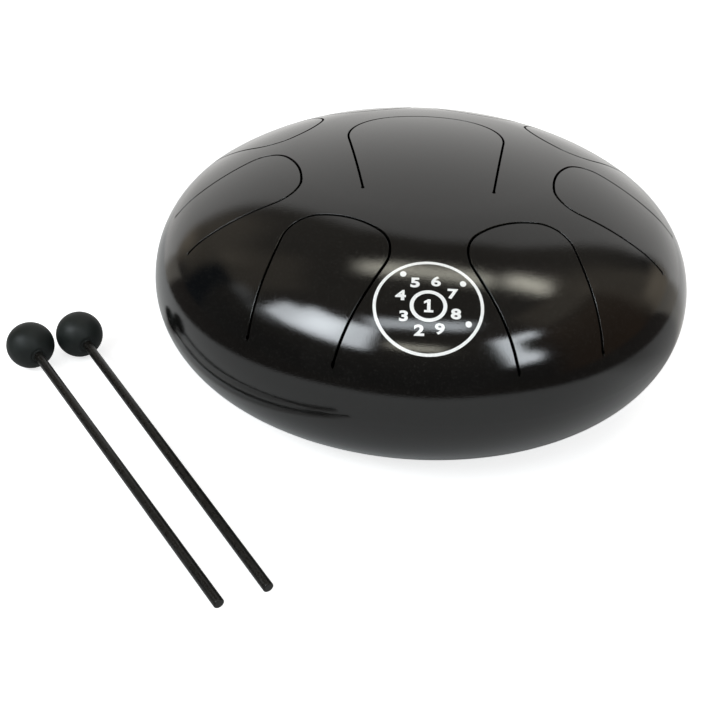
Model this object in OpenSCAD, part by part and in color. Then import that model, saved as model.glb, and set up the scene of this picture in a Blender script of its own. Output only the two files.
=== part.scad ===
// Steel tongue drum with two mallets, in millimetres.
// Z is up and z = 0 is the table. The drum's axis is the Z axis.
// The player sits at -Y and the note chart faces them. Turns are in degrees from -Y towards +X.

/* [Drum shells] */
// Diameter of the drum over its rim
drum_d = 305; // [292:1:325]
// Thickness of the steel sheet
sheet_t = 1.5; // [1:0.1:2]
// Radius of the bend that turns the upper shell into the rim
top_knuckle_r = 58; // [54:0.5:62]
// Slope at which that bend runs into the shoulder
top_knuckle_deg = 35.13; // [34:0.01:37]
// Radius of the shoulder of the upper shell
shoulder_r = 145.1; // [130:0.1:160]
// Slope at which the shoulder runs into the crown
shoulder_deg = 11.1; // [10:0.1:12]
// Radius of the bend that turns the lower shell into the rim
bottom_knuckle_r = 45; // [40:0.5:50]
// Slope at which that bend runs into the underside
bottom_knuckle_deg = 9.13; // [7.5:0.01:10.5]
// Crease at which two arcs of the section cross
crease_deg = 0.5; // [0.4:0.1:0.8]
// Depth of the weld groove in the rim
weld_depth = 1.2; // [0.6:0.1:1.8]
// Width of the weld bead on the outside
weld_w = 2.4; // [1.2:0.1:4]

/* [Tongues] */
// Width of the slot round each tongue
slot_w = 1.2; // [0.8:0.1:1.8]
// Diameter of the pierced hole at each end of a slot
pierce_d = 2; // [1.6:0.1:2.6]
// Clearance at the root, where the tongue's body meets the shell's
root_gap = 0.1; // [0.05:0.01:0.2]
// How far each leg of a slot leans in towards the root
leg_taper_deg = 7; // [5:0.5:9]
// How far a corner's arc stands out from the arc and the leg it joins
corner_out = 0.01; // [0.005:0.005:0.02]
// Greatest width of an outer tongue, as a share of the drum's diameter
outer_w_share = 0.18197; // [0.166:0.001:0.19]
// Corner radius of an outer tongue, as a share of the drum's diameter
outer_corner_share = 0.05246; // [0.046:0.001:0.062]
// Radius of the free end of an outer tongue, as a share of the drum's diameter
outer_tip_arc_share = 0.18033; // [0.16:0.001:0.2]
// Turn of the two front tongues from the front
front_turn_deg = 26; // [25:0.5:27]
// Turn of the two side tongues
side_turn_deg = 71.5; // [70:0.5:73]
// Turn of the two rear tongues
rear_turn_deg = 118; // [117:0.5:119]
// Turn of the two back tongues
back_turn_deg = 159.5; // [158.5:0.5:160]
// Drum axis to the free end of a front tongue, as a share of the drum's diameter
front_tip_share = 0.28328; // [0.275:0.001:0.295]
// Drum axis to the root of a front tongue, as a share of the drum's diameter
front_root_share = 0.47705; // [0.463:0.001:0.479]
// Drum axis to the free end of a side tongue, as a share of the drum's diameter
side_tip_share = 0.23934; // [0.233:0.001:0.255]
// Drum axis to the root of a side tongue, as a share of the drum's diameter
side_root_share = 0.44754; // [0.427:0.001:0.455]
// Drum axis to the free end of a rear tongue, as a share of the drum's diameter
rear_tip_share = 0.24787; // [0.239:0.001:0.261]
// Drum axis to the root of a rear tongue, as a share of the drum's diameter
rear_root_share = 0.43607; // [0.423:0.001:0.449]
// Drum axis to the free end of a back tongue, as a share of the drum's diameter
back_tip_share = 0.25672; // [0.248:0.001:0.27]
// Drum axis to the root of a back tongue, as a share of the drum's diameter
back_root_share = 0.43607; // [0.423:0.001:0.449]
// Greatest width of the centre tongue, as a share of the drum's diameter
center_w_share = 0.28197; // [0.263:0.001:0.295]
// Corner radius of the centre tongue, as a share of the drum's diameter
center_corner_share = 0.11311; // [0.1:0.001:0.12]
// Radius of the free end of the centre tongue, as a share of the drum's diameter
center_tip_arc_share = 0.22295; // [0.2:0.001:0.25]
// How far each leg of the centre slot leans in towards the root
center_taper_deg = 9.1; // [8:0.1:10.5]
// Drum axis back to the free end of the centre tongue, as a share of the drum's diameter
center_tip_share = 0.16885; // [0.158:0.001:0.176]
// Drum axis forwards to the root of the centre tongue, as a share of the drum's diameter
center_root_share = 0.16885; // [0.155:0.001:0.176]

/* [Note chart] */
// Width of the chart over its outer ring
chart_w = 51; // [44:0.5:53]
// Height of the chart, up the flank
chart_h = 47; // [42:0.2:48]
// Width of the inner ring over its outside
inner_ring_w = 16; // [12:0.5:20]
// Breadth of the outer ring's line
outer_line_w = 1.4; // [0.8:0.1:2]
// Breadth of the inner ring's line
inner_line_w = 1.8; // [0.8:0.1:2.4]
// Thickness of the print
print_t = 0.1; // [0.05:0.01:0.3]
// Rim inwards to the middle of the chart
chart_in = 26.5; // [24:0.5:29]
// How far right of the front the chart sits
chart_x = 0; // [-2:0.1:3]
// Slope at which the chart's plane lies
chart_deg = 37.4; // [34:0.2:40]

/* [Sound hole and feet] */
// Radius of the sound hole in the lower shell
sound_hole_r = 32; // [28:0.5:38]
// Wall of the rubber edging inside the hole
trim_wall_t = 2.5; // [1.5:0.1:4]
// How far the edging laps over the sheet
trim_lap = 4.5; // [3:0.1:6]
// Thickness of each lap
trim_lap_t = 1.3; // [0.8:0.1:1.5]
// Corner radius of the edging
trim_corner_r = 0.6; // [0.3:0.1:0.6]
// Rim inwards to the middle of each foot
foot_in = 67.5; // [60:0.5:75]
// Radius of a foot where it stands
foot_base_r = 9; // [8:0.1:10]
// Radius of a foot where it meets the shell
foot_top_r = 11; // [10.5:0.1:13]
// Height of the lowest point of the underside over the table
ground_gap = 3; // [2.8:0.1:4]
// Radius of the screw
screw_r = 2; // [1.5:0.1:2.5]
// Clearance round the screw in the shell and the foot
screw_clear = 0.2; // [0.1:0.05:0.4]
// Clearance between screw and nut
thread_clear = 0.05; // [0.02:0.01:0.1]
// Radius of the screw's head
screw_head_r = 3.8; // [3.2:0.1:4.2]
// Height of the screw's head
screw_head_h = 2; // [1.5:0.1:2.2]
// Width over the flats of the socket in the screw's head
socket_flats = 2.5; // [2:0.1:3]
// Depth of that socket
socket_depth = 1.2; // [0.8:0.1:1.4]
// Radius of the washer
washer_r = 4.9; // [4.5:0.1:5.2]
// Thickness of the washer
washer_t = 0.8; // [0.5:0.1:1]
// Radius of the recess in the foot
recess_r = 5.3; // [5.3:0.1:5.8]
// Depth of the head inside the foot
head_inset = 0.8; // [0.4:0.1:1]
// Width of the nut over its flats
nut_flats = 7; // [6:0.1:8]
// Height of the nut
nut_h = 3.2; // [2.4:0.1:4]
// How far the screw stands out of the nut
screw_out = 1; // [0.3:0.1:1.5]

/* [Mallets] */
// Radius of a mallet's rubber head
head_r = 13.6; // [12:0.1:14]
// Middle of the head to the end of the stick
stick_reach = 230.3; // [200:0.5:240]
// Radius of the stick
stick_r = 2.6; // [2.2:0.1:3]
// Rounding of the stick's end
stick_round = 0.6; // [0.3:0.1:1]
// Clearance that the glue fills round the stick in the head
glue_gap = 0.05; // [0.02:0.01:0.1]
// How deep the stick goes past the middle of the head
stick_in = 4; // [0:0.5:8]
// Radius of the flat boss where the stick enters the head
head_boss_r = 5; // [4:0.1:6]
// Rim out to the middle of the left mallet's head, to the left
left_mallet_out = 73.2; // [63:0.1:88]
// Left mallet's head, forwards or backwards
left_mallet_y = -35.6; // [-56:0.2:-16]
// Turn of the left mallet's stick, from +X towards +Y
left_mallet_deg = -53; // [-61:0.5:-51]
// Rim out to the middle of the right mallet's head, to the left
right_mallet_out = 48.1; // [38.5:0.1:49]
// Right mallet's head, forwards or backwards
right_mallet_y = -21.4; // [-22.4:0.2:-6.4]
// Turn of the right mallet's stick, from +X towards +Y
right_mallet_deg = -54.4; // [-55:0.2:-51]

/* [Hidden] */
$fn = 180;

// Overrun of a cut past what it cuts
over = 1;
drum_r = drum_d / 2;

outer_w = outer_w_share * drum_d;
outer_corner_r = outer_corner_share * drum_d;
outer_tip_arc_r = outer_tip_arc_share * drum_d;
front_tip_r = front_tip_share * drum_d;
front_root_r = front_root_share * drum_d;
side_tip_r = side_tip_share * drum_d;
side_root_r = side_root_share * drum_d;
rear_tip_r = rear_tip_share * drum_d;
rear_root_r = rear_root_share * drum_d;
back_tip_r = back_tip_share * drum_d;
back_root_r = back_root_share * drum_d;
center_w = center_w_share * drum_d;
center_corner_r = center_corner_share * drum_d;
center_tip_arc_r = center_tip_arc_share * drum_d;
center_tip_v = -center_tip_share * drum_d;
center_root_v = center_root_share * drum_d;

// A section's outward direction where its slope is a
function slope_way(a) = [sin(a), cos(a)];
// Two crossing arcs cross twice: half the distance between their crossings
function half_cross(tight_r, wide_r) = crease_deg * PI / 180 / (1 / tight_r - 1 / wide_r);

// Upper shell's section, as [radius, height above the rim's plane]: three arcs, each a little
// steeper than the last where they cross
top_knuckle_c = [drum_r - top_knuckle_r, 0];
top_knuckle_edge = top_knuckle_c + top_knuckle_r * slope_way(top_knuckle_deg);
shoulder_c = top_knuckle_edge - shoulder_r * slope_way(top_knuckle_deg - crease_deg);
crown_edge = shoulder_c + shoulder_r * slope_way(shoulder_deg + crease_deg);
crown_r = crown_edge.x / sin(shoulder_deg);
crown_c = [0, crown_edge.y - crown_r * cos(shoulder_deg)];
top_h = crown_c.y + crown_r;

// Lower shell's section, with depths below the rim's plane
bottom_knuckle_c = [drum_r - bottom_knuckle_r, 0];
under_edge = bottom_knuckle_c + bottom_knuckle_r * slope_way(bottom_knuckle_deg);
under_r = under_edge.x / sin(bottom_knuckle_deg - crease_deg);
under_c = [0, under_edge.y - under_r * cos(bottom_knuckle_deg - crease_deg)];
bottom_h = under_c.y + under_r;

// Height of the rim's plane over the table
rim_z = ground_gap + bottom_h;

// Height over the table of the underside's surface at radius r, lifted by the sheet's share t
function under_z(r, t) = rim_z - under_c.y - sqrt(pow(under_r - t, 2) - r * r);

trim_bore_r = sound_hole_r - trim_wall_t;
trim_out_r = sound_hole_r + trim_lap;
trim_low_z = under_z(trim_bore_r, 0) - trim_lap_t;
trim_high_z = under_z(trim_out_r, sheet_t) + trim_lap_t;

foot_turns_deg = [-45, 45, 135, -135];
foot_place_r = drum_r - foot_in;
foot_reach_z = under_z(foot_place_r + foot_top_r, 0) + over;
recess_h = head_inset + screw_head_h + washer_t;
nut_corner_r = nut_flats / 2 / cos(30);
nut_z = under_z(foot_place_r + nut_corner_r, sheet_t);
screw_top_z = nut_z + nut_h + screw_out;

// The stick slopes down from the head's middle until its rounded end touches the table
end_reach = stick_reach - stick_round;
end_drop_r = stick_r - stick_round;
stick_drop_deg = asin((head_r - stick_round) / norm([end_reach, end_drop_r])) - atan2(end_drop_r, end_reach);
// Distance from the head's middle to its boss, whose flat cuts the ball off
boss_reach = sqrt(head_r * head_r - head_boss_r * head_boss_r);

// Section of a shell

// A disc, and all that lies between it and the drum's axis
module disc_from_axis(c, r, x) {
    translate(c) circle(r = r, $fn = 240);
    square([x, drum_d]);
}

// Everything inside the upper shell's surface, less a depth t
module top_inside(t) {
    intersection() {
        translate(crown_c) circle(r = crown_r - t, $fn = 720);
        disc_from_axis(shoulder_c, shoulder_r - t, crown_edge.x - half_cross(shoulder_r, crown_r));
        disc_from_axis(
            top_knuckle_c, top_knuckle_r - t, top_knuckle_edge.x - half_cross(top_knuckle_r, shoulder_r)
        );
        square([drum_d, drum_d]);
    }
}

// Everything inside the lower shell's surface, drawn as if it lay above the rim's plane
module bottom_inside(t) {
    intersection() {
        translate(under_c) circle(r = under_r - t, $fn = 1440);
        disc_from_axis(
            bottom_knuckle_c, bottom_knuckle_r - t, under_edge.x - half_cross(bottom_knuckle_r, under_r)
        );
        square([drum_d, drum_d]);
    }
}

// Half of the V groove that the weld fills
module weld_groove() {
    groove_out = drum_r + over;
    half_w = weld_w / 2 * (weld_depth + over) / weld_depth;
    polygon([[drum_r - weld_depth, 0], [groove_out, 0], [groove_out, half_w]]);
}

module top_wall() {
    difference() {
        top_inside(0);
        top_inside(sheet_t);
        weld_groove();
    }
}

module bottom_wall() {
    difference() {
        bottom_inside(0);
        bottom_inside(sheet_t);
        weld_groove();
    }
}

// Places what is drawn above the rim's plane
module over_rim() {
    translate([0, 0, rim_z]) children();
}

// Places what is drawn upside down below the rim's plane
module under_rim() {
    translate([0, 0, rim_z]) mirror([0, 0, 1]) children();
}

// Tongues, drawn with the free end towards the axis and the root outwards

// Outline of a tongue, let out by o, and cut off square at root_v
module tongue_outline(tip_v, root_v, w, corner_r, tip_arc_r, taper_deg, o) {
    corner_x = w / 2 - corner_r;
    arc_v = tip_v + tip_arc_r;
    arc_gap = tip_arc_r - corner_r;
    corner_v = arc_v - sqrt(arc_gap * arc_gap - corner_x * corner_x);
    turn_deg = asin(corner_x / arc_gap);
    leg_way = [cos(taper_deg), sin(taper_deg)];
    leg_start = [corner_x, corner_v] + (corner_r + o) * leg_way;
    far_v = root_v + w;
    leg_end = [leg_start.x - (far_v - leg_start.y) * tan(taper_deg), far_v];
    arc_reach = 2 * tip_arc_r;
    intersection() {
        union() {
            intersection() {
                translate([0, arc_v]) circle(r = tip_arc_r + o);
                polygon([
                    [0, arc_v],
                    [-arc_reach * sin(turn_deg), arc_v - arc_reach * cos(turn_deg)],
                    [arc_reach * sin(turn_deg), arc_v - arc_reach * cos(turn_deg)]
                ]);
            }
            for (side = [-1, 1])
                translate([side * corner_x, corner_v]) circle(r = corner_r + o + corner_out);
            polygon([[-leg_start.x, leg_start.y], leg_start, leg_end, [-leg_end.x, leg_end.y]]);
        }
        translate([-w, tip_v - w]) square([2 * w, root_v - tip_v + w]);
    }
}

// The pierced holes at the two ends of a slot
module pierced_ends(tip_v, root_v, w, corner_r, tip_arc_r, taper_deg) {
    corner_x = w / 2 - corner_r;
    arc_gap = tip_arc_r - corner_r;
    corner_v = tip_v + tip_arc_r - sqrt(arc_gap * arc_gap - corner_x * corner_x);
    leg_start = [corner_x, corner_v] + (corner_r + slot_w / 2) * [cos(taper_deg), sin(taper_deg)];
    end_x = leg_start.x - (root_v - leg_start.y) * tan(taper_deg);
    for (side = [-1, 1]) translate([side * end_x, root_v]) circle(d = pierce_d, $fn = 32);
}

// What a tongue and its slot take out of the upper shell, seen from above
module slot_cut(turn_deg, tip_v, root_v, w, corner_r, tip_arc_r, taper_deg) {
    rotate(turn_deg + 180) {
        tongue_outline(tip_v, root_v, w, corner_r, tip_arc_r, taper_deg, slot_w);
        pierced_ends(tip_v, root_v, w, corner_r, tip_arc_r, taper_deg);
    }
}

module outer_slot_cut(turn_deg, tip_v, root_v) {
    slot_cut(turn_deg, tip_v, root_v, outer_w, outer_corner_r, outer_tip_arc_r, leg_taper_deg);
}

module center_slot_cut() {
    slot_cut(
        0, center_tip_v, center_root_v, center_w, center_corner_r, center_tip_arc_r, center_taper_deg
    );
}

// A tongue, cut from the upper shell's wall
module tongue(turn_deg, tip_v, root_v, w, corner_r, tip_arc_r, taper_deg) {
    color("#161514") over_rim() intersection() {
        rotate_extrude() top_wall();
        linear_extrude(height = top_h + over) rotate(turn_deg + 180) difference() {
            tongue_outline(tip_v, root_v - root_gap, w, corner_r, tip_arc_r, taper_deg, 0);
            pierced_ends(tip_v, root_v, w, corner_r, tip_arc_r, taper_deg);
        }
    }
}

module outer_tongue(turn_deg, tip_v, root_v) {
    tongue(turn_deg, tip_v, root_v, outer_w, outer_corner_r, outer_tip_arc_r, leg_taper_deg);
}

module tongue_center() {
    tongue(
        0, center_tip_v, center_root_v, center_w, center_corner_r, center_tip_arc_r, center_taper_deg
    );
}
module tongue_front_left() { outer_tongue(-front_turn_deg, front_tip_r, front_root_r); }
module tongue_front_right() { outer_tongue(front_turn_deg, front_tip_r, front_root_r); }
module tongue_left() { outer_tongue(-side_turn_deg, side_tip_r, side_root_r); }
module tongue_right() { outer_tongue(side_turn_deg, side_tip_r, side_root_r); }
module tongue_rear_left() { outer_tongue(-rear_turn_deg, rear_tip_r, rear_root_r); }
module tongue_rear_right() { outer_tongue(rear_turn_deg, rear_tip_r, rear_root_r); }
module tongue_back_left() { outer_tongue(-back_turn_deg, back_tip_r, back_root_r); }
module tongue_back_right() { outer_tongue(back_turn_deg, back_tip_r, back_root_r); }

// Shells

module upper_shell() {
    color("#1a1918") over_rim() difference() {
        rotate_extrude() top_wall();
        linear_extrude(height = top_h + over) {
            center_slot_cut();
            for (side = [-1, 1]) {
                outer_slot_cut(side * front_turn_deg, front_tip_r, front_root_r);
                outer_slot_cut(side * side_turn_deg, side_tip_r, side_root_r);
                outer_slot_cut(side * rear_turn_deg, rear_tip_r, rear_root_r);
                outer_slot_cut(side * back_turn_deg, back_tip_r, back_root_r);
            }
        }
    }
}

module lower_shell() {
    color("#171615") difference() {
        under_rim() rotate_extrude() bottom_wall();
        translate([0, 0, -over]) cylinder(r = sound_hole_r, h = rim_z);
        at_feet() translate([0, 0, -over]) cylinder(r = screw_r + screw_clear, h = rim_z);
    }
}

module rim_weld() {
    color("#121110") over_rim() rotate_extrude() {
        intersection() {
            top_inside(0);
            weld_groove();
        }
        mirror([0, 1]) intersection() {
            bottom_inside(0);
            weld_groove();
        }
    }
}

// Rectangle with rounded corners
module round_box(low, high, r) {
    size = high - low;
    translate(low + [r, 0]) square([size.x - 2 * r, size.y]);
    translate(low + [0, r]) square([size.x, size.y - 2 * r]);
    for (x = [low.x + r, high.x - r]) for (y = [low.y + r, high.y - r]) translate([x, y]) circle(r = r);
}

// Rubber channel that grips the edge of the sound hole
module sound_hole_trim() {
    color("#0d0d0d") rotate_extrude() difference() {
        round_box([trim_bore_r, trim_low_z], [trim_out_r, trim_high_z], trim_corner_r);
        intersection() {
            translate([0, rim_z]) mirror([0, 1]) difference() {
                bottom_inside(0);
                bottom_inside(sheet_t);
            }
            translate([sound_hole_r, 0]) square([drum_d, rim_z]);
        }
    }
}

// Printed note chart

// Ellipse of the chart's proportions, w wide
module chart_oval(w) {
    h = w * chart_h / chart_w;
    steps = 60;
    polygon([for (i = [0 : steps - 1]) [w / 2 * cos(360 * i / steps), h / 2 * sin(360 * i / steps)]]);
}

module chart_ring(w, line_w) {
    difference() {
        chart_oval(w);
        chart_oval(w - 2 * line_w);
    }
}

module note_chart() {
    color("white") over_rim() intersection() {
        rotate_extrude() difference() {
            top_inside(-print_t);
            top_inside(0);
        }
        translate([chart_x, chart_in - drum_r, top_knuckle_edge.y]) rotate([chart_deg, 0, 0])
            linear_extrude(height = chart_w / 2, center = true) {
                chart_ring(chart_w, outer_line_w);
                chart_ring(inner_ring_w, inner_line_w);
            }
    }
}

// Feet and their fasteners

module at_foot(turn_deg) {
    rotate(turn_deg) translate([0, -foot_place_r, 0]) children();
}

module at_feet() {
    for (turn_deg = foot_turns_deg) at_foot(turn_deg) children();
}

module foot(turn_deg) {
    color("#0f0f0f") difference() {
        at_foot(turn_deg) difference() {
            cylinder(r1 = foot_base_r, r2 = foot_top_r, h = foot_reach_z);
            translate([0, 0, -over]) cylinder(r = recess_r, h = recess_h + over);
            translate([0, 0, -over]) cylinder(r = screw_r + screw_clear, h = foot_reach_z + 2 * over);
        }
        under_rim() rotate_extrude() bottom_inside(0);
    }
}
module foot_front_left() { foot(foot_turns_deg[0]); }
module foot_front_right() { foot(foot_turns_deg[1]); }
module foot_back_right() { foot(foot_turns_deg[2]); }
module foot_back_left() { foot(foot_turns_deg[3]); }

module foot_screws() {
    color("silver") at_feet() {
        translate([0, 0, head_inset]) difference() {
            cylinder(r = screw_head_r, h = screw_head_h);
            translate([0, 0, -over])
                cylinder(r = socket_flats / 2 / cos(30), h = over + socket_depth, $fn = 6);
        }
        translate([0, 0, head_inset + socket_depth])
            cylinder(r = screw_r, h = screw_top_z - head_inset - socket_depth);
    }
}

module foot_washers() {
    color("silver") at_feet() translate([0, 0, head_inset + screw_head_h]) difference() {
        cylinder(r = washer_r, h = washer_t);
        translate([0, 0, -over]) cylinder(r = screw_r + screw_clear, h = washer_t + 2 * over);
    }
}

module foot_nuts() {
    color("silver") at_feet() translate([0, 0, nut_z]) difference() {
        cylinder(r = nut_corner_r, h = nut_h, $fn = 6);
        translate([0, 0, -over]) cylinder(r = screw_r + thread_clear, h = nut_h + 2 * over);
    }
}

// Mallets, drawn with the head's middle at the origin and the stick along +X

module on_table(x, y, turn_deg) {
    translate([x, y, head_r]) rotate(turn_deg) rotate([0, stick_drop_deg, 0]) children();
}

// Turns a profile drawn as [distance from the stick's axis, distance along it]
module along_stick() {
    rotate([0, 90, 0]) rotate_extrude() children();
}

module stick(x, y, turn_deg) {
    color("#1b1a19") on_table(x, y, turn_deg) along_stick() {
        translate([0, -stick_in]) square([stick_r, stick_in + stick_reach - stick_round]);
        square([stick_r - stick_round, stick_reach]);
        intersection() {
            translate([stick_r - stick_round, stick_reach - stick_round]) circle(r = stick_round, $fn = 32);
            square([stick_r, stick_reach]);
        }
    }
}

module head(x, y, turn_deg) {
    color("#1d1e1d") on_table(x, y, turn_deg) along_stick() difference() {
        intersection() {
            circle(r = head_r);
            translate([0, -head_r]) square([head_r, head_r + boss_reach]);
        }
        translate([0, -stick_in - glue_gap]) square([stick_r + glue_gap, stick_in + glue_gap + head_r]);
    }
}

module mallet_left_stick() { stick(-drum_r - left_mallet_out, left_mallet_y, left_mallet_deg); }
module mallet_left_head() { head(-drum_r - left_mallet_out, left_mallet_y, left_mallet_deg); }
module mallet_right_stick() { stick(-drum_r - right_mallet_out, right_mallet_y, right_mallet_deg); }
module mallet_right_head() { head(-drum_r - right_mallet_out, right_mallet_y, right_mallet_deg); }

upper_shell();
lower_shell();
rim_weld();
sound_hole_trim();
note_chart();
tongue_center();
tongue_front_left();
tongue_front_right();
tongue_left();
tongue_right();
tongue_rear_left();
tongue_rear_right();
tongue_back_left();
tongue_back_right();
foot_front_left();
foot_front_right();
foot_back_left();
foot_back_right();
foot_screws();
foot_washers();
foot_nuts();
mallet_left_stick();
mallet_left_head();
mallet_right_stick();
mallet_right_head();
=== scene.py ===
import math

import bmesh
import bpy
from mathutils import Matrix, Vector


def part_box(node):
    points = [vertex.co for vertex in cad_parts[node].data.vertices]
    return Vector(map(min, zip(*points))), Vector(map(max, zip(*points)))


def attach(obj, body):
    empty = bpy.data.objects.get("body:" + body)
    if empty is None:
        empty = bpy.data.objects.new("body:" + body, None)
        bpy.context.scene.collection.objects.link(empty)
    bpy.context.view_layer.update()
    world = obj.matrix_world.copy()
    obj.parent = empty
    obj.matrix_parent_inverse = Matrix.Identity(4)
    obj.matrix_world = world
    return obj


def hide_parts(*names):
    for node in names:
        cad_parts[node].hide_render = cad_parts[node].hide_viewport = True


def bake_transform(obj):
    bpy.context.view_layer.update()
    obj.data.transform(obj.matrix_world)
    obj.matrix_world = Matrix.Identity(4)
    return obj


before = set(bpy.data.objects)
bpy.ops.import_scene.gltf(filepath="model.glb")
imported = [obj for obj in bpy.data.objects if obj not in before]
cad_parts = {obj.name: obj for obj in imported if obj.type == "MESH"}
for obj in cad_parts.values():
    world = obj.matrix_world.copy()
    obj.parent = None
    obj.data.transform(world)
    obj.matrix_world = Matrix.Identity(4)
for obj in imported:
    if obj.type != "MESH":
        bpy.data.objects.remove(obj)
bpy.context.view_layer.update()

# Steel tongue drum with two mallets. Shapes are worked out in millimetres and made in metres.
MM = 0.001

# The player's view: distance in rim radii, then angles in radians: height, swing round the drum, aim and tilt
VIEW_REACH, VIEW_RISE, VIEW_SWING = 3.936, 0.4892, -0.0462
AIM_ASIDE, AIM_DOWN, AIM_TILT = 0.0552, -0.0907, -0.0629
SENSOR_W, FOCUS_PX, PICTURE_PX = 36.0, 1011.22, 713.0

# The drum's section: centre radius, centre height over the rim's plane and radius of each arc, and where it starts
DRUM_R = 152.5
SHEET_T = 1.5
TOP_ARCS = ((94.5, 0.0, 58.0, 127.184), (45.47, -71.87, 145.0, 72.644), (0.0, -310.252, 387.68, 0.0))
UNDER_ARCS = ((107.5, 0.0, 45.0, 114.229), (0.0, 710.807, 763.89, 0.0))
WELD_HALF = 1.2
WELD_IN = 1.15
SOUND_HOLE_R = 32.0
# Steps round the drum's axis, and along the lower shell's bend and bowl
SPIN_STEPS, BEND_STEPS, BOWL_STEPS = 240, 24, 18
# The plan outside this radius is too steep to cut, so it is turned down in rows
SKIRT_R = 149.0
SKIRT_ROWS = 7

# The slots; the pierced holes are 1 mm in radius over their rounded edge
SLOT_W = 1.2
PIERCE_R = 0.8
EDGE_R = 0.2
# Points along half a free end, round a corner, and round a hole outside and inside the tongue
ARC_STEPS, CORNER_STEPS = 8, 14
HOLE_OUT_STEPS, HOLE_IN_STEPS = 14, 5
# Squares that the sheet and the print are cut into
GRID, PRINT_GRID = 2.5, 1.0
# Distances that count as none: from a cut, between two corners, and from a line
CUT_NEAR, TOUCH, ON_LINE = 0.0001, 0.0005, 0.0015
# Share of a line's length past its ends that still counts as on it
PAST_END = 0.001
# How far short of the inner side a cut's wall ends
WALL_SHORT = 0.02

# An outer tongue: width, corner, end arc and lean of the legs
OUTER = (55.5, 16.0, 55.0, 7.0)
# Each tongue: node, body, turn from the front, free end, root, and the same four
TONGUES = (
    ("tongue_center", "center_tongue", 0.0, -51.5, 51.5, 86.0, 34.5, 68.0, 9.1),
    ("tongue_front_left", "front_left_tongue", -26.0, 86.4, 145.5, *OUTER),
    ("tongue_front_right", "front_right_tongue", 26.0, 86.4, 145.5, *OUTER),
    ("tongue_left", "left_tongue", -71.5, 73.0, 136.5, *OUTER),
    ("tongue_right", "right_tongue", 71.5, 73.0, 136.5, *OUTER),
    ("tongue_rear_left", "rear_left_tongue", -118.0, 75.6, 133.0, *OUTER),
    ("tongue_rear_right", "rear_right_tongue", 118.0, 75.6, 133.0, *OUTER),
    ("tongue_back_left", "back_left_tongue", -159.5, 78.3, 133.0, *OUTER),
    ("tongue_back_right", "back_right_tongue", 159.5, 78.3, 133.0, *OUTER),
)

# The printed chart: middle, slope of its plane, and its rings
CHART_MID = Vector((0.0, -126.0, 47.435))
CHART_SLOPE = math.radians(37.4)
CHART_W, CHART_H, CHART_LINE = 51.4, 47.4, 1.5
INNER_RING_W, INNER_LINE = 17.3, 1.8
ONE_H, NUMERAL_H, GLYPH_WIDEN = 6.6, 5.3, 1.35
# How much a numeral of height 1 is let out: 6 and 9, and the others
BOLD_ROUND, BOLD = 0.03, 0.04
# Where 2 to 9 and the three dots stand, across and up from the middle
NUMERAL_PLACES = ((-4.0, -12.0), (-11.3, -5.4), (-13.0, 5.1), (-6.4, 11.9), (3.3, 12.9), (11.2, 6.7), (12.7, -3.4),
                  (5.4, -11.0))
DOT_PLACES = ((-12.0, 16.4), (15.9, 12.4), (18.6, -8.0))
DOT_R = 1.5
# How far from its plane the dome is looked for, and in how many halvings
CHART_SEARCH, CHART_HALVINGS = 14.0, 26
# Ink over and under the paint's surface
PRINT_LIFT, PRINT_SINK = 0.07, 0.03

# Height of the paint's orange peel, in metres
PEEL = 0.000022

# The mallets: side, head's middle and turn of the stick
MALLETS = (("left", -225.7, -35.6, -53.0), ("right", -200.6, -21.4, -54.4))
HEAD_R = 13.6
# The head's mouth round the stick, from its lip inwards: distance from the middle and radius
HEAD_MOUTH = ((12.62, 4.15), (12.5, 3.85), (12.62, 3.55), (12.9, 3.3), (13.05, 3.0), (13.0, 2.72), (12.6, 2.62),
              (9.0, 2.62), (9.0, 0.0))
# Angle in radians from the stick at which the ball ends
BALL_END = 0.345
# Steps along the ball, and round it and the stick
BALL_STEPS, BALL_TURN_STEPS, STICK_TURN_STEPS = 44, 96, 48
STICK_R, STICK_REACH, STICK_ROUND, STICK_IN = 2.6, 230.3, 0.6, 4.0
STICK_DROP = math.radians(2.745)
# Corners on the stick's axis are merged within this
AXIS_MERGE = 0.01

# The white paper that gloss sees round the drum: its middle, half width and reach to the front, in metres
PAPER_MID, PAPER_SIDE, PAPER_FRONT = 0.010, 0.380, 0.60
# How far to each side the sweep opens behind the drum for each unit of way back, lit and half lit
OPEN_LEFT, OPEN_RIGHT = 1.30, 1.45
DIM_LEFT, DIM_RIGHT = 2.1, 3.1
# Lamps: azimuth, elevation, width and height in degrees, radiance, colour and roll
LAMPS = (
    ("left_window", -48.0, 41.0, 44.0, 15.0, 7.0, (0.90, 0.97, 1.0), 8.0),
    ("right_window", 44.0, 27.0, 17.0, 24.0, 5.0, (0.92, 0.98, 1.0), 0.0),
    ("ceiling_bar", 0.0, 61.0, 60.0, 3.0, 2.5, (1.0, 0.98, 0.94), 0.0),
    ("warm_left", -132.0, 74.0, 12.0, 8.0, 2.5, (1.0, 0.93, 0.80), 0.0),
    ("warm_right", 108.0, 63.0, 18.0, 10.0, 3.0, (1.0, 0.93, 0.80), 0.0),
)
LAMP_REACH = 2.2
LAMP_AIM = Vector((0.0, -0.12, 0.10))
FLOOR_HALF, ROOM_R = 6.0, 12.0
# What the air gives as light; the camera and the gloss see it at full white
AIR_LIGHT = 0.45
# The standing sweep's ends: change with height, and way aside for each unit of way back
SWEEP_LEFT, SWEEP_RIGHT = (-1.1, 1.33), (-0.35, 1.45)
# Its upper hem: way back for each unit of height, then what each side adds with way aside and with height
HEM_RISE, HEM_LEFT, HEM_RIGHT = 0.45, (-0.45, 0.02), (0.5, -0.21)

# What the gloss reflects. Each patch: middle, half size, slope, soft edge, colour and radiance
DAY, LAMP, WALL, RUST = (0.93, 1.0, 1.05), (1.0, 0.98, 0.84), (1.0, 0.86, 0.66), (1.0, 0.42, 0.05)
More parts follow.
